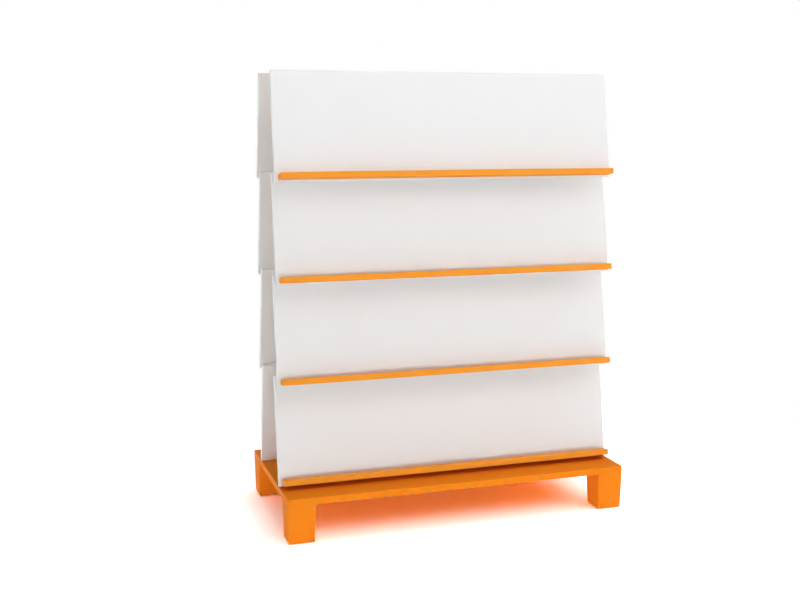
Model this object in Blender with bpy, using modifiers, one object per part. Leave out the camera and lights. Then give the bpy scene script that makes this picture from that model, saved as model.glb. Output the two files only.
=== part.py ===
"""Double-sided display bookcase: four sloping tiers on each long side, on a low base with four legs.

Metres, +Z up. The origin is on the floor under the middle of the base, the width runs along X and
the front faces -Y. The rear side is the front side turned half a turn about Z.
"""

import math

import bmesh
import bpy
from mathutils import Matrix, Vector

# Fit between pieces that touch or sit in one another
CLEARANCE = 0.0003
CUT_MARGIN = 0.01

# Width of the base board and of the panels above it, which end flush with it
WIDTH = 1.050

# Base board and legs
BASE_DEPTH = 0.530
BASE_HEIGHT = 0.132
BOARD_THICKNESS = 0.020
LEG_TOP_SIDE = 0.081
LEG_FOOT_SIDE = 0.075
BASE_EDGE_RADIUS = 0.0015

# Sloping panels
TIERS = 4
TIER_PITCH = 0.295
PANEL_LENGTH = 0.320
PANEL_THICKNESS = 0.018
PANEL_LEAN = math.radians(10.0)
PANEL_FOOT_GAP = 0.0008
TOP_HALF_DEPTH = 0.094
PANEL_EDGE_RADIUS = 0.0008

# Ledge bars, square to the panels
LEDGE_THICKNESS = 0.017
LEDGE_DEPTH = 0.043
LEDGE_RISE = 0.0045
LEDGE_END_INSET = 0.008
LEDGE_EDGE_RADIUS = 0.002
TONGUE_THICKNESS = 0.006
TONGUE_DEPTH = 0.008
TONGUE_STOP = 0.012

# Uprights between the two sides
UPRIGHT_END_INSET = 0.096
UPRIGHT_THICKNESS = 0.018
UPRIGHT_TOP_DROP = 0.010
TOOTH_GAP = 0.003

# Top stretcher
STRETCHER_THICKNESS = 0.018
STRETCHER_DROP = 0.024
STRETCHER_SIDE_GAP = 0.0006

# Cam fittings that hold the panels to the uprights
CAM_RADIUS = 0.0075
CAM_DEPTH = 0.0125
CAM_DISTANCE = 0.034
CAM_HEIGHT = 0.170
CAM_PIN_RADIUS = 0.0035
CAM_PIN_IN_PANEL = 0.011

# Screws through the base board and through the uprights
SCREW_LENGTH = 0.050
SCREW_HEAD_RADIUS = 0.005
SCREW_HEAD_HEIGHT = 0.004
SCREW_NECK_RADIUS = 0.0035
SCREW_THREAD_RADIUS = 0.0025
BASE_SCREW_SPACING = 0.140
STRETCHER_SCREW_SPACING = 0.090

# Dowels in the legs
DOWEL_RADIUS = 0.005
DOWEL_IN_BOARD = 0.014
DOWEL_IN_LEG = 0.026
DOWEL_SPACING = 0.036

# Floor glides
GLIDE_RADIUS = 0.014
GLIDE_HEIGHT = 0.002
GLIDE_EDGE = 0.0005
GLIDE_PIN_RADIUS = 0.002
GLIDE_PIN_LENGTH = 0.014

# Fineness of round pieces and rounded edges
ROUND_STEPS = 12
EDGE_SEGMENTS = 2
MERGE_DISTANCE = 0.00001

# Levels and places that follow from the sizes above
BOARD_UNDERSIDE = BASE_HEIGHT - BOARD_THICKNESS
PANEL_FOOT_DROP = PANEL_THICKNESS * math.sin(PANEL_LEAN)
LOWEST_FACE_FOOT = BASE_HEIGHT + PANEL_FOOT_GAP + PANEL_FOOT_DROP
FACE_FOOT_Y = -TOP_HALF_DEPTH - PANEL_LENGTH * math.sin(PANEL_LEAN)
TOP_LEVEL = LOWEST_FACE_FOOT + (TIERS - 1) * TIER_PITCH + PANEL_LENGTH * math.cos(PANEL_LEAN)
UPRIGHT_OUTER_FACE = WIDTH / 2 - UPRIGHT_END_INSET
UPRIGHT_MIDDLE = UPRIGHT_OUTER_FACE - UPRIGHT_THICKNESS / 2
UPRIGHT_INNER_FACE = UPRIGHT_OUTER_FACE - UPRIGHT_THICKNESS
LEDGE_LENGTH = WIDTH - 2 * LEDGE_END_INSET
STRETCHER_TOP = TOP_LEVEL - STRETCHER_DROP

TURNED_ROUND = {"front": 0.0, "rear": math.pi}
SIGN = {"left": -1, "right": 1, "front": -1, "rear": 1}

for old in list(bpy.data.objects):
    bpy.data.objects.remove(old)

parts = bpy.data.collections.new("double_sided_bookcase")
cutters = bpy.data.collections.new("cutters")
cutters.hide_render = True
for collection in (parts, cutters):
    bpy.context.scene.collection.children.link(collection)


def finish(name, colour, roughness, metallic=0.0):
    """A material with the colour, roughness and metallic value of one finish."""
    material = bpy.data.materials.new(name)
    material.use_nodes = True
    surface = material.node_tree.nodes["Principled BSDF"]
    surface.inputs["Base Color"].default_value = (*colour, 1.0)
    surface.inputs["Roughness"].default_value = roughness
    surface.inputs["Metallic"].default_value = metallic
    material.diffuse_color = (*colour, 1.0)
    return material


ORANGE_LACQUER = finish("orange_lacquer", (0.91, 0.24, 0.013), 0.4)
WHITE_BOARD = finish("white_board", (0.82, 0.82, 0.81), 0.5)
ZINC = finish("zinc_plated_steel", (0.62, 0.63, 0.64), 0.35, 1.0)
BEECH = finish("beech", (0.60, 0.40, 0.22), 0.6)
GREY_PLASTIC = finish("grey_plastic", (0.35, 0.35, 0.36), 0.5)


def add_object(name, mesh, parent, material):
    """Links a mesh as a part, or as a hidden cutter where it has no material."""
    piece = bpy.data.objects.new(name, mesh)
    piece.parent = parent
    if material:
        mesh.materials.append(material)
        parts.objects.link(piece)
    else:
        cutters.objects.link(piece)
        piece.hide_render = True
        piece.display_type = "WIRE"
    return piece


def block(name, low, high, parent=None, material=None, radius=0.0):
    """A box between two corners, with its edges rounded where a radius is given."""
    low, high = Vector(low), Vector(high)
    mesh = bpy.data.meshes.new(name)
    shape = bmesh.new()
    bmesh.ops.create_cube(shape, size=1.0)
    bmesh.ops.scale(shape, vec=high - low, verts=shape.verts)
    bmesh.ops.translate(shape, vec=(low + high) / 2, verts=shape.verts)
    shape.to_mesh(mesh)
    shape.free()
    piece = add_object(name, mesh, parent, material)
    if radius:
        round_edges(piece, radius)
    return piece


def round_edges(piece, radius):
    bevel = piece.modifiers.new("rounded_edges", "BEVEL")
    bevel.width = radius
    bevel.segments = EDGE_SEGMENTS


def turned(name, profile, matrix, parent=None, material=None):
    """A round piece from (radius, height) points, listed from the top of its axis to the bottom."""
    mesh = bpy.data.meshes.new(name)
    shape = bmesh.new()
    points = [shape.verts.new((radius, 0, height)) for radius, height in profile]
    for first, second in zip(points, points[1:]):
        shape.edges.new((first, second))
    shape.to_mesh(mesh)
    shape.free()
    piece = add_object(name, mesh, parent, material)
    piece.matrix_local = matrix
    screw = piece.modifiers.new("turned", "SCREW")
    screw.steps = screw.render_steps = ROUND_STEPS
    screw.use_merge_vertices = True
    screw.merge_threshold = MERGE_DISTANCE
    return piece


def boolean(piece, operation, tools):
    for tool in tools:
        modifier = piece.modifiers.new(tool.name, "BOOLEAN")
        modifier.operation = operation
        modifier.object = tool


def pin_profile(radius, top, bottom, grown=0.0):
    """A plain pin from top to bottom; grown widens and lengthens it into the hole that takes it."""
    radius += grown
    return [(0, top + grown), (radius, top + grown), (radius, bottom - grown), (0, bottom - grown)]


def screw_profile(through, grown=0.0):
    """A screw along +Z from its head's outer face at zero; through is what its thick neck passes."""
    head = SCREW_HEAD_RADIUS + grown
    neck = SCREW_NECK_RADIUS + grown
    thread = SCREW_THREAD_RADIUS + grown
    outside = -CUT_MARGIN if grown else 0.0
    tip, neck_end, head_end = (length + grown for length in (SCREW_LENGTH, through, SCREW_HEAD_HEIGHT))
    return [(0, tip), (thread, tip), (thread, neck_end), (neck, neck_end),
            (neck, head_end), (head, head_end), (head, outside), (0, outside)]


def glide_profile(grown=0.0):
    """A floor glide from the tip of its pin down to its flat face on the floor."""
    pin, tip = GLIDE_PIN_RADIUS + grown, GLIDE_HEIGHT + GLIDE_PIN_LENGTH + grown
    shoulder = GLIDE_HEIGHT - CLEARANCE
    return [(0, tip), (pin, tip), (pin, shoulder), (GLIDE_RADIUS, shoulder), (GLIDE_RADIUS, GLIDE_EDGE),
            (GLIDE_RADIUS - GLIDE_EDGE, 0), (0, 0)]


def panel_back_y(level):
    """How far the top tier's panel backs stand from the middle plane at a level."""
    face_foot = LOWEST_FACE_FOOT + (TIERS - 1) * TIER_PITCH
    back_foot = FACE_FOOT_Y + PANEL_THICKNESS * math.cos(PANEL_LEAN)
    return -back_foot - (level - face_foot + PANEL_FOOT_DROP) * math.tan(PANEL_LEAN)


# Base board, which the holes below are cut into
board_holes = []
base_board = block(
    "base_board",
    (-WIDTH / 2, -BASE_DEPTH / 2, BOARD_UNDERSIDE),
    (WIDTH / 2, BASE_DEPTH / 2, BASE_HEIGHT),
    None, ORANGE_LACQUER, BASE_EDGE_RADIUS,
)


def add_leg(row, side):
    """A tapered leg flush with the board's corner, with its two dowels and its glide."""
    height = BOARD_UNDERSIDE - CLEARANCE - GLIDE_HEIGHT
    corner = bpy.data.objects.new(f"corner_{row}_{side}", None)
    corner.location.x = SIGN[side] * (WIDTH - LEG_TOP_SIDE) / 2
    corner.location.y = SIGN[row] * (BASE_DEPTH - LEG_TOP_SIDE) / 2
    parts.objects.link(corner)

    mesh = bpy.data.meshes.new(f"leg_{row}_{side}")
    shape = bmesh.new()
    bmesh.ops.create_cone(
        shape, cap_ends=True, segments=4, depth=height,
        radius1=LEG_FOOT_SIDE / math.sqrt(2), radius2=LEG_TOP_SIDE / math.sqrt(2),
        matrix=Matrix.Translation((0, 0, GLIDE_HEIGHT + height / 2)) @ Matrix.Rotation(math.pi / 4, 4, "Z"),
    )
    shape.to_mesh(mesh)
    shape.free()
    leg = add_object(mesh.name, mesh, corner, ORANGE_LACQUER)
    round_edges(leg, BASE_EDGE_RADIUS)

    holes = [turned(f"glide_hole_{row}_{side}", glide_profile(CLEARANCE), Matrix(), corner)]
    turned(f"glide_{row}_{side}", glide_profile(), Matrix(), corner, GREY_PLASTIC)
    for place in ("left", "right"):
        seat = Matrix.Translation((SIGN[place] * DOWEL_SPACING / 2, 0, BOARD_UNDERSIDE))
        tag = f"{row}_{side}_{place}"
        dowel = pin_profile(DOWEL_RADIUS, DOWEL_IN_BOARD, -DOWEL_IN_LEG)
        hole = pin_profile(DOWEL_RADIUS, DOWEL_IN_BOARD, -DOWEL_IN_LEG, CLEARANCE)
        turned(f"leg_dowel_{tag}", dowel, seat, corner, BEECH)
        holes.append(turned(f"leg_dowel_hole_{tag}", hole, seat, corner))
        board_holes.append(holes[-1])
    boolean(leg, "DIFFERENCE", holes)


for row in ("front", "rear"):
    for side in ("left", "right"):
        add_leg(row, side)

# Uprights and the stretcher between them; the tiers below cut the uprights' saw teeth
uprights, upright_cuts = {}, {"left": [], "right": []}
half_depth = -FACE_FOOT_Y
for side in ("left", "right"):
    faces = sorted((SIGN[side] * UPRIGHT_INNER_FACE, SIGN[side] * UPRIGHT_OUTER_FACE))
    uprights[side] = block(
        f"upright_{side}",
        (faces[0], -half_depth, BASE_HEIGHT + CLEARANCE),
        (faces[1], half_depth, TOP_LEVEL - UPRIGHT_TOP_DROP),
        None, WHITE_BOARD,
    )

stretcher_end = UPRIGHT_INNER_FACE - CLEARANCE
stretcher_side = panel_back_y(STRETCHER_TOP) - STRETCHER_SIDE_GAP
top_stretcher = block(
    "top_stretcher",
    (-stretcher_end, -stretcher_side, STRETCHER_TOP - STRETCHER_THICKNESS),
    (stretcher_end, stretcher_side, STRETCHER_TOP),
    None, WHITE_BOARD,
)


def add_screw(name, place, through):
    """A screw, and the stepped hole that both of the boards it joins are cut with."""
    turned(name, screw_profile(through), place, None, ZINC)
    return turned(f"{name}_hole", screw_profile(through, CLEARANCE), place)


stretcher_holes = []
for side in ("left", "right"):
    for row in ("front", "rear"):
        up = Matrix.Translation((
            SIGN[side] * UPRIGHT_MIDDLE,
            SIGN[row] * BASE_SCREW_SPACING / 2,
            BOARD_UNDERSIDE,
        ))
        hole = add_screw(f"base_screw_{row}_{side}", up, BOARD_THICKNESS)
        board_holes.append(hole)
        upright_cuts[side].append(hole)

        inward = Matrix.Translation((
            SIGN[side] * UPRIGHT_OUTER_FACE,
            SIGN[row] * STRETCHER_SCREW_SPACING / 2,
            STRETCHER_TOP - STRETCHER_THICKNESS / 2,
        )) @ Matrix.Rotation(-SIGN[side] * math.pi / 2, 4, "Y")
        hole = add_screw(f"stretcher_screw_{row}_{side}", inward, UPRIGHT_THICKNESS)
        stretcher_holes.append(hole)
        upright_cuts[side].append(hole)
boolean(top_stretcher, "DIFFERENCE", stretcher_holes)
boolean(base_board, "DIFFERENCE", board_holes)


def cam_fitting(name, side_sign, tier, material=None, grown=0.0):
    """A cam disc set in an upright's outer face, with the pin that draws a panel's back to the upright."""
    centre = PANEL_THICKNESS + CAM_DISTANCE
    in_middle = Matrix.Translation((side_sign * UPRIGHT_MIDDLE, centre, CAM_HEIGHT))
    on_face = Matrix.Translation((side_sign * UPRIGHT_OUTER_FACE, centre, CAM_HEIGHT))
    to_panel = in_middle @ Matrix.Rotation(math.pi / 2, 4, "X")
    outward = on_face @ Matrix.Rotation(side_sign * math.pi / 2, 4, "Y")

    shaft = pin_profile(CAM_PIN_RADIUS, CAM_DISTANCE + CAM_PIN_IN_PANEL, 0, grown)
    pin = turned(f"{name}_pin", shaft, to_panel, tier)
    outside = CUT_MARGIN if grown else 0.0
    radius = CAM_RADIUS + grown
    depth = -CAM_DEPTH - grown
    rim = [(0, outside), (radius, outside), (radius, depth), (0, depth)]
    disc = turned(name, rim, outward, tier, material)
    if material:
        boolean(disc, "UNION", [pin])
    return disc, pin


def add_tier(face, number):
    """One panel with its ledge and cam fittings, in a frame at the foot of the panel's front face.

    In that frame X runs along the width, Y into the panel and Z up its slope.
    """
    tag = f"{face}_{number}"
    foot = Vector((0, FACE_FOOT_Y, LOWEST_FACE_FOOT + (TIERS - number) * TIER_PITCH))
    tier = bpy.data.objects.new(f"tier_{tag}", None)
    tier.matrix_local = (
        Matrix.Rotation(TURNED_ROUND[face], 4, "Z")
        @ Matrix.Translation(foot)
        @ Matrix.Rotation(-PANEL_LEAN, 4, "X")
    )
    parts.objects.link(tier)

    panel = block(
        f"panel_{tag}", (-WIDTH / 2, 0, 0), (WIDTH / 2, PANEL_THICKNESS, PANEL_LENGTH),
        tier, WHITE_BOARD, PANEL_EDGE_RADIUS,
    )
    ledge = block(
        f"ledge_{tag}",
        (-LEDGE_LENGTH / 2, -LEDGE_DEPTH, LEDGE_RISE),
        (LEDGE_LENGTH / 2, -CLEARANCE, LEDGE_RISE + LEDGE_THICKNESS),
        tier, ORANGE_LACQUER, LEDGE_EDGE_RADIUS,
    )
    tongue_end = LEDGE_LENGTH / 2 - TONGUE_STOP
    tongue_low = LEDGE_RISE + (LEDGE_THICKNESS - TONGUE_THICKNESS) / 2
    tongue_low_corner = Vector((-tongue_end, -LEDGE_DEPTH / 2, tongue_low))
    tongue_high_corner = Vector((tongue_end, TONGUE_DEPTH, tongue_low + TONGUE_THICKNESS))
    tongue = block(f"tongue_{tag}", tongue_low_corner, tongue_high_corner, tier)
    boolean(ledge, "UNION", [tongue])
    around = Vector((CLEARANCE, CLEARANCE, CLEARANCE))
    panel_cuts = [block(f"groove_{tag}", tongue_low_corner - around, tongue_high_corner + around, tier)]

    saw_tooth = block(
        f"saw_tooth_{tag}",
        (-WIDTH, -BASE_DEPTH, -TIER_PITCH / 2),
        (WIDTH, PANEL_THICKNESS + CLEARANCE, PANEL_LENGTH + TOOTH_GAP),
        tier,
    )
    for side in ("left", "right"):
        # the rear side is turned round, so its left is at the other end
        local_sign = SIGN[side] if face == "front" else -SIGN[side]
        cam_fitting(f"cam_fitting_{tag}_{side}", local_sign, tier, ZINC)
        pocket, pin_hole = cam_fitting(f"cam_pocket_{tag}_{side}", local_sign, tier, None, CLEARANCE)
        panel_cuts.append(pin_hole)
        upright_cuts[side] += [saw_tooth, pocket, pin_hole]
    boolean(panel, "DIFFERENCE", panel_cuts)


for face in ("front", "rear"):
    for number in range(1, TIERS + 1):
        add_tier(face, number)

for side, upright in uprights.items():
    boolean(upright, "DIFFERENCE", upright_cuts[side])
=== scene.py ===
"""Looks of the double-sided display bookcase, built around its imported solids.

Metres, +Z up, the width along X and the front towards -Y. The pieces follow one another
from the floor up, as they are put together.
"""

import math

import bmesh
import bpy
from mathutils import Matrix, Vector


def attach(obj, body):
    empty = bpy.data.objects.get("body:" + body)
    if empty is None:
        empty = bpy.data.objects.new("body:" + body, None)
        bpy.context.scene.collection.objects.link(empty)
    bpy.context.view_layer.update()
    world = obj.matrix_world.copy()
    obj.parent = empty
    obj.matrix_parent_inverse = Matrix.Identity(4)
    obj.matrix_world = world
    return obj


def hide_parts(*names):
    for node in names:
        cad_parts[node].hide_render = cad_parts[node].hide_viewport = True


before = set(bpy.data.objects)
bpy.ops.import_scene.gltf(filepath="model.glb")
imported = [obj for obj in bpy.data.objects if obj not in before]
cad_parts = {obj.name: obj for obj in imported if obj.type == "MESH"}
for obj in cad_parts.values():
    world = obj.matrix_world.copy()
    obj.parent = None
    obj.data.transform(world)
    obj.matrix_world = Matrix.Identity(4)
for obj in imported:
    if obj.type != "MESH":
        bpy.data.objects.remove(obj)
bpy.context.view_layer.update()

# Floor glides. Discs of grey moulded plastic with a rounded rim and a shallow sink in the middle,
# each with a pin that is pressed into the foot of a leg, so that the lacquer never stands on the floor.
BASE_WIDTH = 1.050
BASE_DEPTH = 0.530
LEG_TOP_SIDE = 0.081
GLIDE_RADIUS = 0.014
GLIDE_HEIGHT = 0.002
GLIDE_RIM = 0.0005
GLIDE_SINK_RADIUS = 0.005
GLIDE_SINK_DEPTH = 0.0008
GLIDE_PIN_RADIUS = 0.002
GLIDE_PIN_LENGTH = 0.014
GLIDE_GREY = (0.32, 0.32, 0.33)
GLIDE_PALE_GREY = (0.38, 0.38, 0.39)
FIT_GAP = 0.0003
SAME_PLACE = 1e-6
ROUND_STEPS = 40
RIM_STEPS = 4
SHARP_ANGLE = math.radians(40)
NOISE_LOW = 0.3
NOISE_HIGH = 0.7
ROWS = {"front": -1, "rear": 1}
SIDES = {"left": -1, "right": 1}


class Shade:
    """A socket among a finish's nodes: sums with it add Math nodes, and node() adds any other node."""

    def __init__(self, tree, socket=None):
        self.tree = tree
        self.socket = socket

    def node(self, kind, settings, sockets, output=0):
        """Adds a node of a type, with its settings first and then values or links for its sockets."""
        added = self.tree.nodes.new(kind)
        for setting, value in settings.items():
            setattr(added, setting, value)
        for place, value in sockets.items():
            self.join(value, added.inputs[place])
        return Shade(self.tree, added.outputs[output])

    def join(self, value, socket):
        """Links a socket to another Shade, or sets it to a plain value or colour."""
        if isinstance(value, Shade):
            self.tree.links.new(value.socket, socket)
        elif socket.type == "RGBA":
            socket.default_value = (*value, 1.0)
        else:
            socket.default_value = value

    def sibling(self, output):
        """Another output of the node that this one comes from."""
        return Shade(self.tree, self.socket.node.outputs[output])

    def sum(self, operation, first, second):
        return self.node("ShaderNodeMath", {"operation": operation}, {0: first, 1: second})

    def __add__(self, other):
        return self.sum("ADD", self, other)

    def __radd__(self, other):
        return self.sum("ADD", other, self)

    def __sub__(self, other):
        return self.sum("SUBTRACT", self, other)

    def __rsub__(self, other):
        return self.sum("SUBTRACT", other, self)

    def __mul__(self, other):
        return self.sum("MULTIPLY", self, other)

    def __rmul__(self, other):
        return self.sum("MULTIPLY", other, self)

    def __abs__(self):
        return self.sum("ABSOLUTE", self, 0.0)

    def least(self, other):
        return self.sum("MINIMUM", self, other)

    def most(self, other):
        return self.sum("MAXIMUM", self, other)

    def fade(self, start, end):
        """Runs evenly from 0 where this value is at start to 1 where it is at end."""
        return self.node("ShaderNodeMapRange", {}, {"Value": self, "From Min": start, "From Max": end})

    def spread(self):
        """A noise's middle range, spread from 0 to 1."""
        return self.fade(NOISE_LOW, NOISE_HIGH)

    def tint(self, under, over):
        """The colour under, covered by the colour over as far as this mask says."""
        # a Mix node's colour sockets share their names with its other ones, so they go by number
        return self.node("ShaderNodeMix", {"data_type": "RGBA"}, {0: self, 6: under, 7: over}, 2)

    def own_place(self):
        """A point's place in its piece's own frame."""
        return self.node("ShaderNodeTexCoord", {}, {}, "Object")

    def stretched(self, x, y, z):
        """This place, scaled along each axis."""
        return self.node("ShaderNodeVectorMath", {"operation": "MULTIPLY"}, {0: self, 1: (x, y, z)})

    def apart(self):
        """The X, Y and Z of this place."""
        x = self.node("ShaderNodeSeparateXYZ", {}, {0: self}, "X")
        return [x, x.sibling("Y"), x.sibling("Z")]

    def noise(self, scale, detail, roughness=0.5):
        return self.node(
            "ShaderNodeTexNoise", {},
            {"Vector": self, "Scale": scale, "Detail": detail, "Roughness": roughness},
        )

    def bump(self, height, strength, distance):
        return self.node(
            "ShaderNodeBump", {},
            {"Height": height, "Strength": strength, "Distance": distance},
        )


def new_finish(name, fixed):
    """A material, and a Shade to add nodes with; fixed values go on the surface's own sockets."""
    material = bpy.data.materials.new(name)
    material.use_nodes = True
    surface = material.node_tree.nodes["Principled BSDF"]
    for socket, value in fixed.items():
        surface.inputs[socket].default_value = value
    return material, Shade(material.node_tree)


def dress(material, colour, roughness, normal):
    """Links what varies over a finish to its surface."""
    surface = material.node_tree.nodes["Principled BSDF"]
    paint = Shade(material.node_tree)
    paint.join(colour, surface.inputs["Base Color"])
    paint.join(roughness, surface.inputs["Roughness"])
    paint.join(normal, surface.inputs["Normal"])


def turned(outline, steps=ROUND_STEPS):
    """A round shape from (radius, height) points, listed from the top of its axis to the bottom."""
    shape = bmesh.new()
    points = [shape.verts.new((radius, 0, height)) for radius, height in outline]
    lines = [shape.edges.new(pair) for pair in zip(points, points[1:])]
    bmesh.ops.spin(
        shape, geom=points + lines, axis=(0, 0, 1), cent=(0, 0, 0),
        angle=2 * math.pi, steps=steps, use_merge=True,
    )
    bmesh.ops.remove_doubles(shape, verts=shape.verts, dist=SAME_PLACE)
    bmesh.ops.recalc_face_normals(shape, faces=shape.faces)
    return shape


def mesh_of(name, shape):
    """A shape's mesh; the shape itself is used up."""
    mesh = bpy.data.meshes.new(name)
    shape.to_mesh(mesh)
    shape.free()
    return mesh


def shaded(mesh):
    """The mesh, smooth over its rounded edges and sharp at the others."""
    mesh.shade_smooth()
    mesh.set_sharp_from_angle(angle=SHARP_ANGLE)
    return mesh


def put(name, mesh, place, node, finish):
    """Sets a piece in place of a CAD node, on the one body, with its finish and material slot."""
    piece = bpy.data.objects.new(name, mesh.copy())
    piece.data.name = name
    piece.data.materials.clear()
    piece.data.materials.append(finish)
    piece.matrix_world = place
    bpy.context.scene.collection.objects.link(piece)
    even_faces = piece.modifiers.new("even_faces", "WEIGHTED_NORMAL")
    even_faces.keep_sharp = True
    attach(piece, "root")
    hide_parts(node)


glide_plastic, paint = new_finish("grey_moulded_plastic", {"Specular IOR Level": 0.4})
place = paint.own_place()
mottle = place.noise(scale=180.0, detail=3.0)
spark_texture = place.noise(scale=2600.0, detail=2.0)
dress(
    glide_plastic,
    colour=mottle.spread().tint(GLIDE_GREY, GLIDE_PALE_GREY),
    roughness=0.48 + 0.16 * mottle,
    normal=paint.bump(spark_texture, strength=0.25, distance=0.0001),
)

glide_shoulder = GLIDE_HEIGHT - FIT_GAP
glide_tip = GLIDE_HEIGHT + GLIDE_PIN_LENGTH
glide_outline = [
    (0, glide_tip),
    (GLIDE_PIN_RADIUS * 0.5, glide_tip),
    (GLIDE_PIN_RADIUS, glide_tip - GLIDE_PIN_RADIUS),
    (GLIDE_PIN_RADIUS, glide_shoulder),
    (GLIDE_RADIUS, glide_shoulder),
]
for step in range(RIM_STEPS + 1):
    turn = math.pi / 2 * step / RIM_STEPS
    glide_outline.append((
        GLIDE_RADIUS - GLIDE_RIM * (1 - math.cos(turn)),
        GLIDE_RIM * (1 - math.sin(turn)),
    ))
glide_outline += [
    (GLIDE_SINK_RADIUS, 0),
    (GLIDE_SINK_RADIUS * 0.8, GLIDE_SINK_DEPTH * 0.9),
    (0, GLIDE_SINK_DEPTH),
]
glide_mesh = shaded(mesh_of("moulded_glide", turned(glide_outline)))

corners = {
    (row, side): Matrix.Translation((
        SIDES[side] * (BASE_WIDTH - LEG_TOP_SIDE) / 2,
        ROWS[row] * (BASE_DEPTH - LEG_TOP_SIDE) / 2,
        0,
    ))
    for row in ROWS
    for side in SIDES
}
for (row, side), corner in corners.items():
    put(
        f"moulded_glide_{row}_{side}", glide_mesh, corner,
        f"glide_{row}_{side}", glide_plastic,
    )

# Legs. Square posts, a little thinner at the foot, lacquered orange with eased arrises. Two dowels glue
# each one under a corner of the board, and filler and lacquer run over the joint, so that hardly a line
# shows.
BOARD_UNDERSIDE = 0.112
LEG_FOOT_SIDE = 0.075
LEG_EDGE_RADIUS = 0.0015
EDGE_SEGMENTS = 4
DOWEL_RADIUS = 0.005
DOWEL_IN_BOARD = 0.014
DOWEL_IN_LEG = 0.026
DOWEL_SPACING = 0.036
CUT_MARGIN = 0.01
ORANGE = (0.850, 0.237, 0.012)
ORANGE_DEEP = (0.830, 0.225, 0.011)
ORANGE_THIN = (0.890, 0.310, 0.022)
BASE_GLOSS = 0.02
WEAR_REACH = 0.0026
WEAR_FULL = 0.0004


def rounded(shape, edges, radius):
    """Rounds some of a shape's edges."""
    bmesh.ops.bevel(
        shape, geom=edges, offset=radius, segments=EDGE_SEGMENTS, profile=0.5, affect="EDGES",
        clamp_overlap=True,
    )


def box(low, high):
    """A box between two corners, as a shape."""
    low, high = Vector(low), Vector(high)
    shape = bmesh.new()
    bmesh.ops.create_cube(shape, size=1.0)
    bmesh.ops.scale(shape, vec=high - low, verts=shape.verts)
    bmesh.ops.translate(shape, vec=(low + high) / 2, verts=shape.verts)
    return shape


def worked(name, shape, cuts=(), joins=()):
    """A shape's mesh, with the shapes of cuts taken out of it and those of joins added to it."""
    body = bpy.data.objects.new(name, mesh_of(name, shape))
    tools = []
    for operation, shapes in (("UNION", joins), ("DIFFERENCE", cuts)):
        for other in shapes:
            tool = bpy.data.objects.new("tool", mesh_of("tool", other))
            step = body.modifiers.new("step", "BOOLEAN")
            step.operation = operation
            step.solver = "EXACT"
            step.object = tool
            tools.append(tool)
    for scratch in [body, *tools]:
        bpy.context.scene.collection.objects.link(scratch)
    made = bpy.data.meshes.new_from_object(body.evaluated_get(bpy.context.evaluated_depsgraph_get()))
    made.name = name
    for scratch in [body, *tools]:
        bpy.data.objects.remove(scratch)
    return shaded(made)


def moved(shape, matrix):
    """The shape itself, moved."""
    bmesh.ops.transform(shape, matrix=matrix, verts=shape.verts)
    return shape


def pin(radius, top, bottom, steps=ROUND_STEPS):
    """A plain round pin, as a shape."""
    return turned([(0, top), (radius, top), (radius, bottom), (0, bottom)], steps)


def middle_of_three(a, b, c):
    """The middle one of three values: of the distances to a block's faces, that to the nearest arris."""
    return a.least(b).most(a.most(b).least(c))


def orange_lacquer(name, tone, deep_tone, gloss, half_sizes_at):
    """Satin lacquer, sprayed on: cloudy by a shade, fine orange peel, thinner along the arrises."""
    material, paint = new_finish(name, {"Specular IOR Level": gloss})
    place = paint.own_place()
    along = place.apart()
    to_faces = [half - abs(distance) for half, distance in zip(half_sizes_at(along), along)]
    to_arris = middle_of_three(*to_faces)
    cloud = place.noise(scale=9.0, detail=3.0)
    patch = place.noise(scale=46.0, detail=3.0)
    peel = place.noise(scale=520.0, detail=2.0)
    nibs = place.noise(scale=140.0, detail=1.0).fade(0.74, 0.82)
    worn = to_arris.fade(WEAR_REACH, WEAR_FULL) * patch.fade(0.35, 0.75)
    mixed = cloud.spread().tint(deep_tone, tone)
    dress(
        material,
        colour=(0.55 * worn).tint(mixed, ORANGE_THIN),
        roughness=0.46 + 0.12 * patch + 0.10 * worn,
        normal=paint.bump(peel + 0.8 * nibs, strength=0.12, distance=0.0002),
    )
    return material


leg_height = BOARD_UNDERSIDE - FIT_GAP - GLIDE_HEIGHT
leg_middle = GLIDE_HEIGHT + leg_height / 2


def leg_half_sizes(along):
    """A leg's half sides at a height, and half its height, about its middle."""
    lean = (LEG_TOP_SIDE - LEG_FOOT_SIDE) / 2 / leg_height
    side = (LEG_TOP_SIDE + LEG_FOOT_SIDE) / 4 + lean * along[2]
    return [side, side, leg_height / 2]


leg_lacquer = orange_lacquer("orange_lacquer_on_legs", ORANGE, ORANGE_DEEP, BASE_GLOSS, leg_half_sizes)

leg_shape = bmesh.new()
bmesh.ops.create_cone(
    leg_shape, cap_ends=True, segments=4, depth=leg_height,
    radius1=LEG_FOOT_SIDE / math.sqrt(2), radius2=LEG_TOP_SIDE / math.sqrt(2),
    matrix=Matrix.Rotation(math.pi / 4, 4, "Z"),
)
outer_arrises = [edge for edge in leg_shape.edges if min(end.co.z for end in edge.verts) < 0]
rounded(leg_shape, outer_arrises, LEG_EDGE_RADIUS)
dowel_seats = [
    Matrix.Translation((sign * DOWEL_SPACING / 2, 0, BOARD_UNDERSIDE))
    for sign in SIDES.values()
]
to_leg = Matrix.Translation((0, 0, -leg_middle))
leg_holes = [
    moved(pin(DOWEL_RADIUS + FIT_GAP, CUT_MARGIN, -DOWEL_IN_LEG - FIT_GAP), to_leg @ seat)
    for seat in dowel_seats
]
leg_holes.append(pin(GLIDE_PIN_RADIUS + FIT_GAP, glide_tip + FIT_GAP - leg_middle, -leg_height))
leg_mesh = worked("lacquered_leg", leg_shape, leg_holes)
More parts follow.
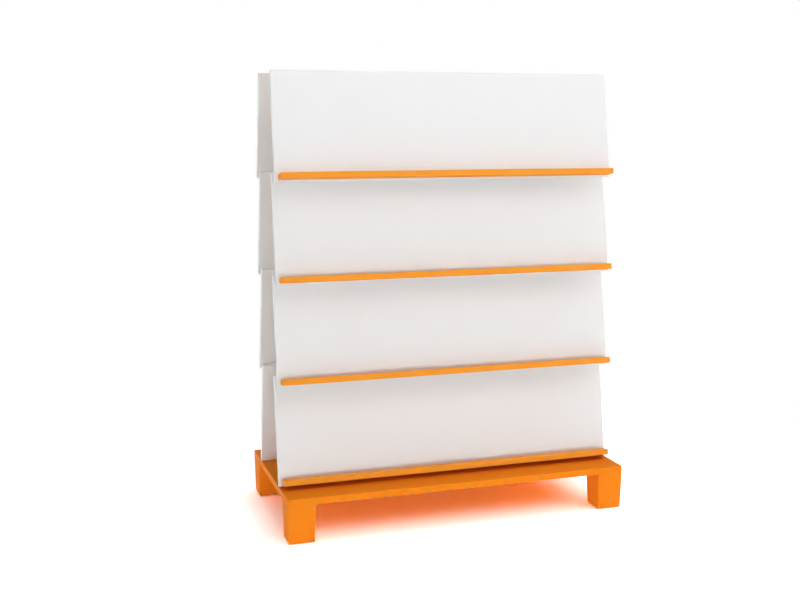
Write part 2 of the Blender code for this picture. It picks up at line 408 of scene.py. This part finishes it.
for (row, side), corner in corners.items():
    put(
        f"lacquered_leg_{row}_{side}", leg_mesh, corner @ Matrix.Translation((0, 0, leg_middle)),
        f"leg_{row}_{side}", leg_lacquer,
    )

# Leg dowels. Fluted beech dowels with chamfered ends, two to a leg, glued half into the leg and half
# into the board above it.
FLUTES = 20
FLUTE_DEPTH = 0.0003
STEPS_PER_FLUTE = 4
DOWEL_CHAMFER = 0.001
BEECH_DARK = (0.52, 0.31, 0.15)
BEECH_PALE = (0.66, 0.45, 0.26)
BEECH_FLECK = (0.38, 0.20, 0.09)

beech, paint = new_finish("beech", {"Specular IOR Level": 0.3})
place = paint.own_place()
grain = place.stretched(1.0, 1.0, 0.06).noise(scale=900.0, detail=4.0, roughness=0.6)
flecks = place.stretched(1.0, 1.0, 0.25).noise(scale=2400.0, detail=1.0).fade(0.62, 0.72)
dress(
    beech,
    colour=(0.5 * flecks).tint(grain.spread().tint(BEECH_DARK, BEECH_PALE), BEECH_FLECK),
    roughness=0.55 + 0.2 * grain,
    normal=paint.bump(grain, strength=0.3, distance=0.0001),
)

dowel_steps = FLUTES * STEPS_PER_FLUTE
dowel_shape = bmesh.new()
dowel_rings = []
for height, shrink in (
    (DOWEL_IN_BOARD, DOWEL_CHAMFER),
    (DOWEL_IN_BOARD - DOWEL_CHAMFER, 0),
    (DOWEL_CHAMFER - DOWEL_IN_LEG, 0),
    (-DOWEL_IN_LEG, DOWEL_CHAMFER),
):
    ring = []
    for step in range(dowel_steps):
        turn = 2 * math.pi * step / dowel_steps
        in_flute = step % STEPS_PER_FLUTE == STEPS_PER_FLUTE // 2
        radius = DOWEL_RADIUS - shrink - (FLUTE_DEPTH if in_flute else 0)
        ring.append(dowel_shape.verts.new((radius * math.cos(turn), radius * math.sin(turn), height)))
    dowel_rings.append(ring)
for upper, lower in zip(dowel_rings, dowel_rings[1:]):
    for step in range(dowel_steps):
        after = (step + 1) % dowel_steps
        dowel_shape.faces.new((upper[step], lower[step], lower[after], upper[after]))
dowel_shape.faces.new(dowel_rings[0])
dowel_shape.faces.new(reversed(dowel_rings[-1]))
bmesh.ops.recalc_face_normals(dowel_shape, faces=dowel_shape.faces)
dowel_mesh = shaded(mesh_of("fluted_dowel", dowel_shape))
for (row, side), corner in corners.items():
    for end, seat in zip(SIDES, dowel_seats):
        put(
            f"fluted_dowel_{row}_{side}_{end}", dowel_mesh, corner @ seat,
            f"leg_dowel_{row}_{side}_{end}", beech,
        )

# Base board. A 20 mm board across the four legs, lacquered with them in the same orange, flush with
# their outer faces. Its top arrises are eased; the lower ones are left crisp, where they meet the legs.
BASE_HEIGHT = 0.132
BOARD_EDGE_RADIUS = 0.0015
BOARD_UNDER_RADIUS = 0.0004
UPRIGHT_MIDDLE = 0.420
BASE_SCREW_SPACING = 0.140
SCREW_LENGTH = 0.050
SCREW_HEAD_RADIUS = 0.005
SCREW_HEAD_HEIGHT = 0.004
SCREW_NECK_RADIUS = 0.0035
SCREW_THREAD_RADIUS = 0.0025

board_thickness = BASE_HEIGHT - BOARD_UNDERSIDE
board_middle = BOARD_UNDERSIDE + board_thickness / 2
board_half = Vector((BASE_WIDTH / 2, BASE_DEPTH / 2, board_thickness / 2))
board_lacquer = orange_lacquer(
    "orange_lacquer_on_board", ORANGE, ORANGE_DEEP, BASE_GLOSS, lambda along: list(board_half),
)

board_shape = box(-board_half, board_half)
upper_edges = [edge for edge in board_shape.edges if max(end.co.z for end in edge.verts) > 0]
rounded(board_shape, upper_edges, BOARD_EDGE_RADIUS)
lower_edges = [
    edge for edge in board_shape.edges
    if max(end.co.z for end in edge.verts) < -board_half.z + SAME_PLACE
]
rounded(board_shape, lower_edges, BOARD_UNDER_RADIUS)
to_board = Matrix.Translation((0, 0, -board_middle))
board_holes = [
    moved(
        pin(DOWEL_RADIUS + FIT_GAP, DOWEL_IN_BOARD + FIT_GAP, -CUT_MARGIN),
        to_board @ corner @ seat,
    )
    for corner in corners.values()
    for seat in dowel_seats
]
base_screws = {
    (row, side): Matrix.Translation((
        SIDES[side] * UPRIGHT_MIDDLE,
        ROWS[row] * BASE_SCREW_SPACING / 2,
        BOARD_UNDERSIDE,
    ))
    for row in ROWS
    for side in SIDES
}
for seat in base_screws.values():
    head_hole = pin(SCREW_HEAD_RADIUS + FIT_GAP, SCREW_HEAD_HEIGHT + FIT_GAP, -CUT_MARGIN)
    neck_hole = pin(SCREW_NECK_RADIUS + FIT_GAP, board_thickness + CUT_MARGIN, SCREW_HEAD_HEIGHT)
    board_holes.append(moved(head_hole, to_board @ seat))
    board_holes.append(moved(neck_hole, to_board @ seat))
board_mesh = worked("lacquered_board", board_shape, board_holes)
put(
    "lacquered_board", board_mesh, Matrix.Translation((0, 0, board_middle)),
    "base_board", board_lacquer,
)

# Screws. Zinc-plated, with a flat head and a hexagon socket. Four hold the uprights down from under the
# base board, and four go through the uprights into the ends of the stretcher.
SOCKET_RADIUS = 0.0023
SOCKET_DEPTH = 0.0026
SOCKET_SIDES = 6
THREAD_PITCH = 0.0022
THREAD_DEPTH = 0.0005
THREAD_START = 0.002
THREAD_RUN_OUT = 0.003
TIP_LENGTH = 0.001
NECK_STEP = 0.0002
HEAD_EDGE = 0.0004
BOARD_SCREW_NECK = 0.020
STRETCHER_SCREW_NECK = 0.018
TOP_LEVEL = 1.33606
STRETCHER_DROP = 0.024
STRETCHER_THICKNESS = 0.018
STRETCHER_SCREW_SPACING = 0.090
UPRIGHT_OUTER_FACE = 0.429
ZINC_DULL = (0.56, 0.57, 0.59)
ZINC_BRIGHT = (0.68, 0.68, 0.67)
SCREW_RINGS = 2.0e6


def zinc_plate(name, ring_scale):
    """Bright zinc plate, a little cloudy, with the fine rings that turning leaves."""
    material, paint = new_finish(name, {"Metallic": 1.0})
    place = paint.own_place()
    x, y, z = place.apart()
    rings = paint.node("ShaderNodeMath", {"operation": "SINE"}, {0: ring_scale * (x * x + y * y)})
    cloud = place.noise(scale=420.0, detail=3.0)
    grit = place.noise(scale=3000.0, detail=2.0)
    dress(
        material,
        colour=cloud.spread().tint(ZINC_DULL, ZINC_BRIGHT),
        roughness=0.28 + 0.22 * cloud,
        normal=paint.bump(rings + 0.6 * grit, strength=0.10, distance=0.0001),
    )
    return material


def screw_mesh(name, neck):
    """A screw along +Z, with its head's outer face at zero."""
    crest = SCREW_THREAD_RADIUS
    root = SCREW_THREAD_RADIUS - THREAD_DEPTH
    outline = [(0, SCREW_LENGTH), (root * 0.5, SCREW_LENGTH - TIP_LENGTH)]
    turns = int((SCREW_LENGTH - neck - THREAD_RUN_OUT) / THREAD_PITCH)
    for turn in range(turns):
        height = SCREW_LENGTH - THREAD_START - turn * THREAD_PITCH
        outline += [(root, height), (crest, height - THREAD_PITCH / 2)]
    outline += [
        (root, neck + NECK_STEP),
        (SCREW_NECK_RADIUS, neck),
        (SCREW_NECK_RADIUS, SCREW_HEAD_HEIGHT),
        (SCREW_HEAD_RADIUS, SCREW_HEAD_HEIGHT),
        (SCREW_HEAD_RADIUS, HEAD_EDGE),
        (SCREW_HEAD_RADIUS - HEAD_EDGE, 0),
        (0, 0),
    ]
    return worked(name, turned(outline), [pin(SOCKET_RADIUS, SOCKET_DEPTH, -CUT_MARGIN, SOCKET_SIDES)])


screw_zinc = zinc_plate("zinc_on_screws", SCREW_RINGS)
board_screw_mesh = screw_mesh("board_screw", BOARD_SCREW_NECK)
for (row, side), seat in base_screws.items():
    put(
        f"socket_screw_base_{row}_{side}", board_screw_mesh, seat,
        f"base_screw_{row}_{side}", screw_zinc,
    )

stretcher_screw_mesh = screw_mesh("stretcher_screw", STRETCHER_SCREW_NECK)
for row in ROWS:
    for side in SIDES:
        seat = Matrix.Translation((
            SIDES[side] * UPRIGHT_OUTER_FACE,
            ROWS[row] * STRETCHER_SCREW_SPACING / 2,
            TOP_LEVEL - STRETCHER_DROP - STRETCHER_THICKNESS / 2,
        ))
        inward = Matrix.Rotation(-SIDES[side] * math.pi / 2, 4, "Y")
        put(
            f"socket_screw_stretcher_{row}_{side}", stretcher_screw_mesh, seat @ inward,
            f"stretcher_screw_{row}_{side}", screw_zinc,
        )

# Uprights and stretcher. Sawn from 18 mm white-faced board, square at the edges: the two uprights carry
# the sloping panels on their saw-tooth outline, and the stretcher between them holds them apart at the
# top. Their solids have the right shape, so they only take a finish.
CARCASS_WHITE = (0.770, 0.762, 0.745)
CARCASS_GREY = (0.735, 0.727, 0.710)

carcass_white, paint = new_finish("white_faced_board", {"Specular IOR Level": 0.35})
place = paint.own_place()
cloud = place.noise(scale=5.0, detail=3.0)
fine_flecks = place.noise(scale=1500.0, detail=2.0)
handled = place.noise(scale=28.0, detail=4.0)
mottle = 0.5 * cloud.spread() + 0.3 * fine_flecks.fade(0.45, 0.7)
dress(
    carcass_white,
    colour=mottle.tint(CARCASS_WHITE, CARCASS_GREY),
    roughness=0.46 + 0.16 * handled,
    normal=paint.bump(fine_flecks, strength=0.10, distance=0.0001),
)
for node in ("upright_left", "upright_right", "top_stretcher"):
    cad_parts[node].data.materials.clear()
    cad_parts[node].data.materials.append(carcass_white)

# Cam fittings. A zinc cam disc in the outer face of an upright, with a cross recess and a mark notched
# in its rim, draws in a pin from the back of each panel, so that no fixing shows on the panel's face.
PANEL_LEAN = math.radians(10.0)
TIERS = 4
TIER_PITCH = 0.295
FACE_FOOT_Y = -0.149567
LOWEST_FACE_FOOT = 0.135926
PANEL_THICKNESS = 0.018
CAM_RADIUS = 0.0075
CAM_DEPTH = 0.0125
CAM_DISTANCE = 0.034
CAM_HEIGHT = 0.170
CAM_RIM = 0.0006
CAM_DISH = 0.0001
CAM_PIN_RADIUS = 0.0035
CAM_PIN_IN_PANEL = 0.011
CAM_PIN_STEP = 0.0006
CAM_PIN_HEAD = 0.001
CAM_PIN_NECK = 0.002
CROSS_LENGTH = 0.0042
CROSS_WIDTH = 0.0009
CROSS_DEPTH = 0.003
NOTCH_RADIUS = 0.0009
NOTCH_SIDES = 3
CAM_RINGS = 1.2e6


def tier_frame(row, number):
    """The foot of a panel's front face: X along the width, Y into the panel and Z up its slope."""
    half_turn = Matrix.Rotation(0.0 if row == "front" else math.pi, 4, "Z")
    foot = Matrix.Translation((0, FACE_FOOT_Y, LOWEST_FACE_FOOT + (TIERS - number) * TIER_PITCH))
    return half_turn @ foot @ Matrix.Rotation(-PANEL_LEAN, 4, "X")


cam_zinc = zinc_plate("zinc_on_cams", CAM_RINGS)
cam_shape = turned([
    (0, -CAM_DISH),
    (CAM_RADIUS - 2 * CAM_RIM, -CAM_DISH),
    (CAM_RADIUS - 1.5 * CAM_RIM, 0),
    (CAM_RADIUS - CAM_RIM, 0),
    (CAM_RADIUS, -CAM_RIM),
    (CAM_RADIUS, -CAM_DEPTH),
    (0, -CAM_DEPTH),
])
cam_pin_end = CAM_DISTANCE + CAM_PIN_IN_PANEL
cam_pin = turned([
    (0, cam_pin_end),
    (CAM_PIN_RADIUS - CAM_PIN_STEP, cam_pin_end),
    (CAM_PIN_RADIUS, cam_pin_end - CAM_PIN_STEP),
    (CAM_PIN_RADIUS, CAM_DISTANCE),
    (CAM_PIN_RADIUS - CAM_PIN_STEP, CAM_DISTANCE - CAM_PIN_STEP),
    (CAM_PIN_RADIUS - CAM_PIN_STEP, CAM_RADIUS + CAM_PIN_NECK),
    (CAM_PIN_RADIUS, CAM_RADIUS + CAM_PIN_HEAD),
    (CAM_PIN_RADIUS, 0),
    (0, 0),
])
to_panel = Matrix.Translation((0, 0, -PANEL_THICKNESS / 2)) @ Matrix.Rotation(math.pi / 2, 4, "X")
cam_cuts = [
    box((-CROSS_LENGTH, -CROSS_WIDTH, -CROSS_DEPTH), (CROSS_LENGTH, CROSS_WIDTH, CUT_MARGIN)),
    box((-CROSS_WIDTH, -CROSS_LENGTH, -CROSS_DEPTH), (CROSS_WIDTH, CROSS_LENGTH, CUT_MARGIN)),
    moved(
        pin(NOTCH_RADIUS, CUT_MARGIN, -CROSS_DEPTH / 2, NOTCH_SIDES),
        Matrix.Translation((0, -CAM_RADIUS, 0)),
    ),
]
cam_mesh = worked("cam_and_pin", cam_shape, cam_cuts, [moved(cam_pin, to_panel)])
for row in ROWS:
    for number in range(1, TIERS + 1):
        for side in SIDES:
            # the rear side is turned round, so its left is at the other end
            sign = SIDES[side] if row == "front" else -SIDES[side]
            seat = Matrix.Translation((
                sign * UPRIGHT_OUTER_FACE,
                PANEL_THICKNESS + CAM_DISTANCE,
                CAM_HEIGHT,
            ))
            outward = Matrix.Rotation(sign * math.pi / 2, 4, "Y")
            put(
                f"cam_and_pin_{row}_{number}_{side}", cam_mesh, tier_frame(row, number) @ seat @ outward,
                f"cam_fitting_{row}_{number}_{side}", cam_zinc,
            )

# Sloping panels. 18 mm board, four to a side, each lapping over the one below like a shingle. The face
# is matt white with a fine pearl, the backing a warmer white. A 1 mm plastic strip, rounded over, closes
# every edge and leaves a hairline joint.
PANEL_LENGTH = 0.320
PANEL_EDGE_RADIUS = 0.0008
EDGE_STRIP = 0.001
HAIRLINE = 0.00012
LEDGE_THICKNESS = 0.017
LEDGE_RISE = 0.0045
LEDGE_LENGTH = 1.034
TONGUE_THICKNESS = 0.006
TONGUE_DEPTH = 0.008
TONGUE_STOP = 0.012
PANEL_WHITE = (0.772, 0.772, 0.770)
PANEL_SHADE = (0.755, 0.755, 0.753)
BACKING_WHITE = (0.785, 0.745, 0.718)
BACKING_SHADE = (0.765, 0.725, 0.698)
STRIP_WHITE = (0.760, 0.760, 0.755)
JOINT_GREY = (0.560, 0.550, 0.535)

panel_half = Vector((BASE_WIDTH / 2, PANEL_THICKNESS / 2, PANEL_LENGTH / 2))
panel_white, paint = new_finish("matt_white_facing", {"Specular IOR Level": 0.35})
place = paint.own_place()
across, through, up = place.apart()
from_edge = (panel_half.x - abs(across)).least(panel_half.z - abs(up))
strip = from_edge.fade(EDGE_STRIP + HAIRLINE, EDGE_STRIP)
joint = abs(from_edge - EDGE_STRIP).fade(HAIRLINE, 0.0)
cloud = place.noise(scale=4.0, detail=3.0)
pearl = place.noise(scale=1300.0, detail=2.0)
handled = place.noise(scale=22.0, detail=4.0)
mottle = 0.6 * cloud.spread() + 0.3 * pearl.fade(0.5, 0.7)
faced = mottle.tint(PANEL_WHITE, PANEL_SHADE)
backed = mottle.tint(BACKING_WHITE, BACKING_SHADE)
both_sides = through.fade(0.0, PANEL_EDGE_RADIUS).tint(faced, backed)
dress(
    panel_white,
    colour=(0.7 * joint).tint(strip.tint(both_sides, STRIP_WHITE), JOINT_GREY),
    roughness=0.44 + 0.14 * handled - 0.08 * strip,
    normal=paint.bump(pearl - 2.0 * joint, strength=0.10, distance=0.0001),
)

panel_place = Matrix.Translation((0, panel_half.y, panel_half.z))
to_panel_middle = panel_place.inverted()
panel_shape = box(-panel_half, panel_half)
rounded(panel_shape, panel_shape.edges[:], PANEL_EDGE_RADIUS)
tongue_end = LEDGE_LENGTH / 2 - TONGUE_STOP
tongue_low = LEDGE_RISE + (LEDGE_THICKNESS - TONGUE_THICKNESS) / 2
groove = box(
    (-tongue_end - FIT_GAP, -CUT_MARGIN, tongue_low - FIT_GAP),
    (tongue_end + FIT_GAP, TONGUE_DEPTH + FIT_GAP, tongue_low + TONGUE_THICKNESS + FIT_GAP),
)
panel_cuts = [moved(groove, to_panel_middle)]
for sign in SIDES.values():
    pin_seat = Matrix.Translation((sign * UPRIGHT_MIDDLE, PANEL_THICKNESS, CAM_HEIGHT))
    into_panel = pin_seat @ Matrix.Rotation(math.pi / 2, 4, "X")
    pin_hole = pin(CAM_PIN_RADIUS + FIT_GAP, CAM_PIN_IN_PANEL + FIT_GAP, -CUT_MARGIN)
    panel_cuts.append(moved(pin_hole, to_panel_middle @ into_panel))
panel_mesh = worked("white_panel", panel_shape, panel_cuts)
for row in ROWS:
    for number in range(1, TIERS + 1):
        put(
            f"white_panel_{row}_{number}", panel_mesh, tier_frame(row, number) @ panel_place,
            f"panel_{row}_{number}", panel_white,
        )

# Ledges. Orange-lacquered bars, square to the panels and with rounded arrises, on which the books stand.
# Each has a tongue along its back that is glued into a stopped groove in its panel.
LEDGE_DEPTH = 0.043
LEDGE_EDGE_RADIUS = 0.002
# The ledges' orange is the base's lacquer orange painted paler and yellower: painted light, standing in
# for the stronger light that falls on the ledges.
LEDGE_ORANGE_PAINTED_LIT = (0.862, 0.312, 0.022)
LEDGE_ORANGE_PAINTED_LIT_DEEP = (0.845, 0.297, 0.020)
LEDGE_GLOSS = 0.15

ledge_half = Vector((LEDGE_LENGTH / 2, (LEDGE_DEPTH - FIT_GAP) / 2, LEDGE_THICKNESS / 2))
ledge_lacquer_with_painted_light = orange_lacquer(
    "orange_lacquer_with_painted_light_on_ledges", LEDGE_ORANGE_PAINTED_LIT, LEDGE_ORANGE_PAINTED_LIT_DEEP, LEDGE_GLOSS,
    lambda along: list(ledge_half),
)
ledge_place = Matrix.Translation((0, -FIT_GAP - ledge_half.y, LEDGE_RISE + ledge_half.z))
ledge_shape = box(-ledge_half, ledge_half)
rounded(ledge_shape, ledge_shape.edges[:], LEDGE_EDGE_RADIUS)
tongue = box(
    (-tongue_end, -LEDGE_DEPTH / 2, tongue_low),
    (tongue_end, TONGUE_DEPTH, tongue_low + TONGUE_THICKNESS),
)
ledge_mesh = worked("orange_ledge", ledge_shape, (), [moved(tongue, ledge_place.inverted())])
for row in ROWS:
    for number in range(1, TIERS + 1):
        put(
            f"orange_ledge_{row}_{number}", ledge_mesh, tier_frame(row, number) @ ledge_place,
            f"ledge_{row}_{number}", ledge_lacquer_with_painted_light,
        )

# Stage. A plain white floor under soft light: low bright walls all round, a sky overhead, and large soft
# boxes high up in front, to the right and behind. Near the object the floor shows its shade, brighter
# than it is, as in an over-exposed picture. Further out it is an even white, like the surround.
FLOOR_REACH = 400.0
FLOOR_SEGMENTS = 64
NEAR_FLOOR_WHITE = (1.46, 1.46, 1.46)
NEAR_FLOOR_SEEN = (2.2, 2.2, 2.2)
FAR_FLOOR_LIGHT = 0.84
SHADE_STARTS_FADING = 0.25
SHADE_ENDS = 0.90
SKY_LIGHT = 0.76
SKY_STARTS = 0.45
SKY_FULL = 0.90
WALL_LIGHT = 25.2
WALL_ENDS = 0.035
WALL_FULL = 0.005
SOFT_BOX_SIDE = 3.0
SOFT_BOX_AIM = Vector((0.0, 0.0, 0.5))
SOFT_BOXES = (
    ("front", Vector((0.3, -5.0, 4.4)), 60.0),
    ("right_front", Vector((3.6, -3.8, 4.6)), 64.0),
    ("right", Vector((5.0, -0.4, 4.6)), 78.0),
    ("rear", Vector((0.6, 5.0, 4.6)), 60.0),
)

bpy.context.scene.view_settings.view_transform = "Standard"


def looked_at(tree):
    """A mask that is 1 for rays from the camera and for those in reflections and through glass."""
    straight = Shade(tree).node("ShaderNodeLightPath", {}, {}, "Is Camera Ray")
    return straight.most(straight.sibling("Is Glossy Ray")).most(straight.sibling("Is Transmission Ray"))


floor_white = bpy.data.materials.new("white_floor")
floor_white.use_nodes = True
paint = Shade(floor_white.node_tree)
seen = looked_at(floor_white.node_tree)
from_middle = paint.node("ShaderNodeVectorMath", {"operation": "ABSOLUTE"}, {0: paint.own_place()})
from_side = paint.node(
    "ShaderNodeVectorMath", {"operation": "SUBTRACT"},
    {0: from_middle, 1: (BASE_WIDTH / 2, BASE_DEPTH / 2, 0)},
)
outside = paint.node("ShaderNodeVectorMath", {"operation": "MAXIMUM"}, {0: from_side, 1: (0, 0, 0)})
from_base = paint.node("ShaderNodeVectorMath", {"operation": "LENGTH"}, {0: outside}, "Value")
near_colour = seen.tint(NEAR_FLOOR_WHITE, NEAR_FLOOR_SEEN)
near_floor = paint.node("ShaderNodeBsdfDiffuse", {}, {"Color": near_colour})
far_floor = paint.node("ShaderNodeEmission", {}, {"Strength": seen + (1 - seen) * FAR_FLOOR_LIGHT})
whole_floor = paint.node(
    "ShaderNodeMixShader", {},
    {0: from_base.fade(SHADE_STARTS_FADING, SHADE_ENDS), 1: near_floor, 2: far_floor},
)
paint.join(whole_floor, floor_white.node_tree.nodes["Material Output"].inputs["Surface"])
floor_shape = bmesh.new()
bmesh.ops.create_circle(floor_shape, cap_ends=True, radius=FLOOR_REACH, segments=FLOOR_SEGMENTS)
floor = bpy.data.objects.new("floor", mesh_of("floor", floor_shape))
floor.data.materials.append(floor_white)
bpy.context.scene.collection.objects.link(floor)

world = bpy.data.worlds.new("white_surround")
world.use_nodes = True
bpy.context.scene.world = world
background = world.node_tree.nodes["Background"]
background.inputs["Color"].default_value = (1.0, 1.0, 1.0, 1.0)
paint = Shade(world.node_tree)
seen = looked_at(world.node_tree)
height = paint.node("ShaderNodeTexCoord", {}, {}, "Generated").apart()[2]
sky = SKY_LIGHT * height.fade(SKY_STARTS, SKY_FULL)
walls = WALL_LIGHT * height.fade(WALL_ENDS, WALL_FULL)
paint.join(seen + (1 - seen) * (sky + walls), background.inputs["Strength"])

for name, spot, power in SOFT_BOXES:
    light = bpy.data.lights.new(name, "AREA")
    light.shape = "SQUARE"
    light.size = SOFT_BOX_SIDE
    light.energy = power
    soft_box = bpy.data.objects.new(name, light)
    soft_box.location = spot
    soft_box.rotation_euler = (SOFT_BOX_AIM - spot).to_track_quat("-Z", "Y").to_euler()
    soft_box.visible_camera = False
    bpy.context.scene.collection.objects.link(soft_box)

# Camera. It stands to the left of the front at chest height and looks a little down. The rest of the
# way down to the object's middle is a shift of the lens, which keeps the uprights nearly parallel.
CAMERA_PLACE = (-1.1503, -3.3247, 1.179)
CAMERA_TILT = math.radians(6.3)
CAMERA_TURN = math.radians(18.254)
SENSOR = 36.0
PICTURE_WIDTH = 800.0
PICTURE_HEIGHT = 600.0
FOCAL_PIXELS = 1139.191
CENTRE_X = 417.5602
CENTRE_Y = 251.0727

lens = bpy.data.cameras.new("camera")
lens.sensor_width = SENSOR
lens.lens = FOCAL_PIXELS * SENSOR / PICTURE_WIDTH
lens.shift_x = (PICTURE_WIDTH / 2 - CENTRE_X) / PICTURE_WIDTH
lens.shift_y = (CENTRE_Y - PICTURE_HEIGHT / 2) / PICTURE_WIDTH
camera = bpy.data.objects.new("camera", lens)
camera.location = CAMERA_PLACE
camera.rotation_euler = (math.pi / 2 - CAMERA_TILT, 0, -CAMERA_TURN)
bpy.context.scene.collection.objects.link(camera)
bpy.context.scene.camera = camera
